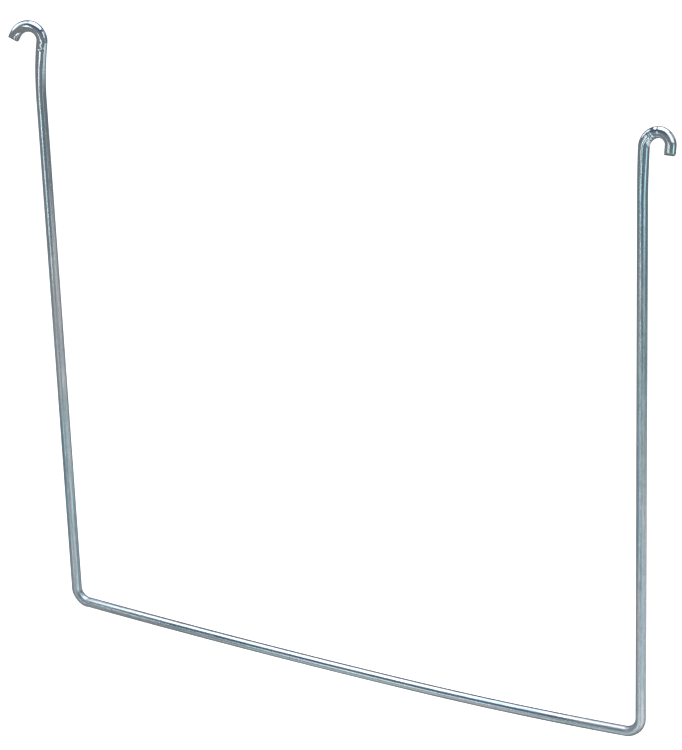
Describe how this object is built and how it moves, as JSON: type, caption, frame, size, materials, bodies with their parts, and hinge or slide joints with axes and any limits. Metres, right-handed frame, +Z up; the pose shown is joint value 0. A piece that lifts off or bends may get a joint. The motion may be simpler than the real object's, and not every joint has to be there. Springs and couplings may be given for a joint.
{
  "type": "wire frame grip",
  "caption": "Wide U of plated steel wire with a gently bowed crossbar and splayed legs, each leg ending in a small hook that curls outward.",
  "frame": {"origin": "midway between the legs, level with the undersides of the two hook crowns, on the line the wire hangs from", "axes": "+Z up, +X to the right across the U, +Y to the back; the whole wire lies in the plane Y = 0"},
  "size_m": [0.3337, 0.0048, 0.2938],
  "materials": {
    "zinc_wire": "bright zinc plate over drawn wire, with a faint blue and green tint"
  },
  "bodies": {
    "root": {"left_hook": "zinc_wire", "left_neck": "zinc_wire", "left_leg": "zinc_wire", "left_bend": "zinc_wire", "left_crossbar": "zinc_wire", "right_crossbar": "zinc_wire", "right_bend": "zinc_wire", "right_leg": "zinc_wire", "right_neck": "zinc_wire", "right_hook": "zinc_wire"}
  },
  "joints": []
}
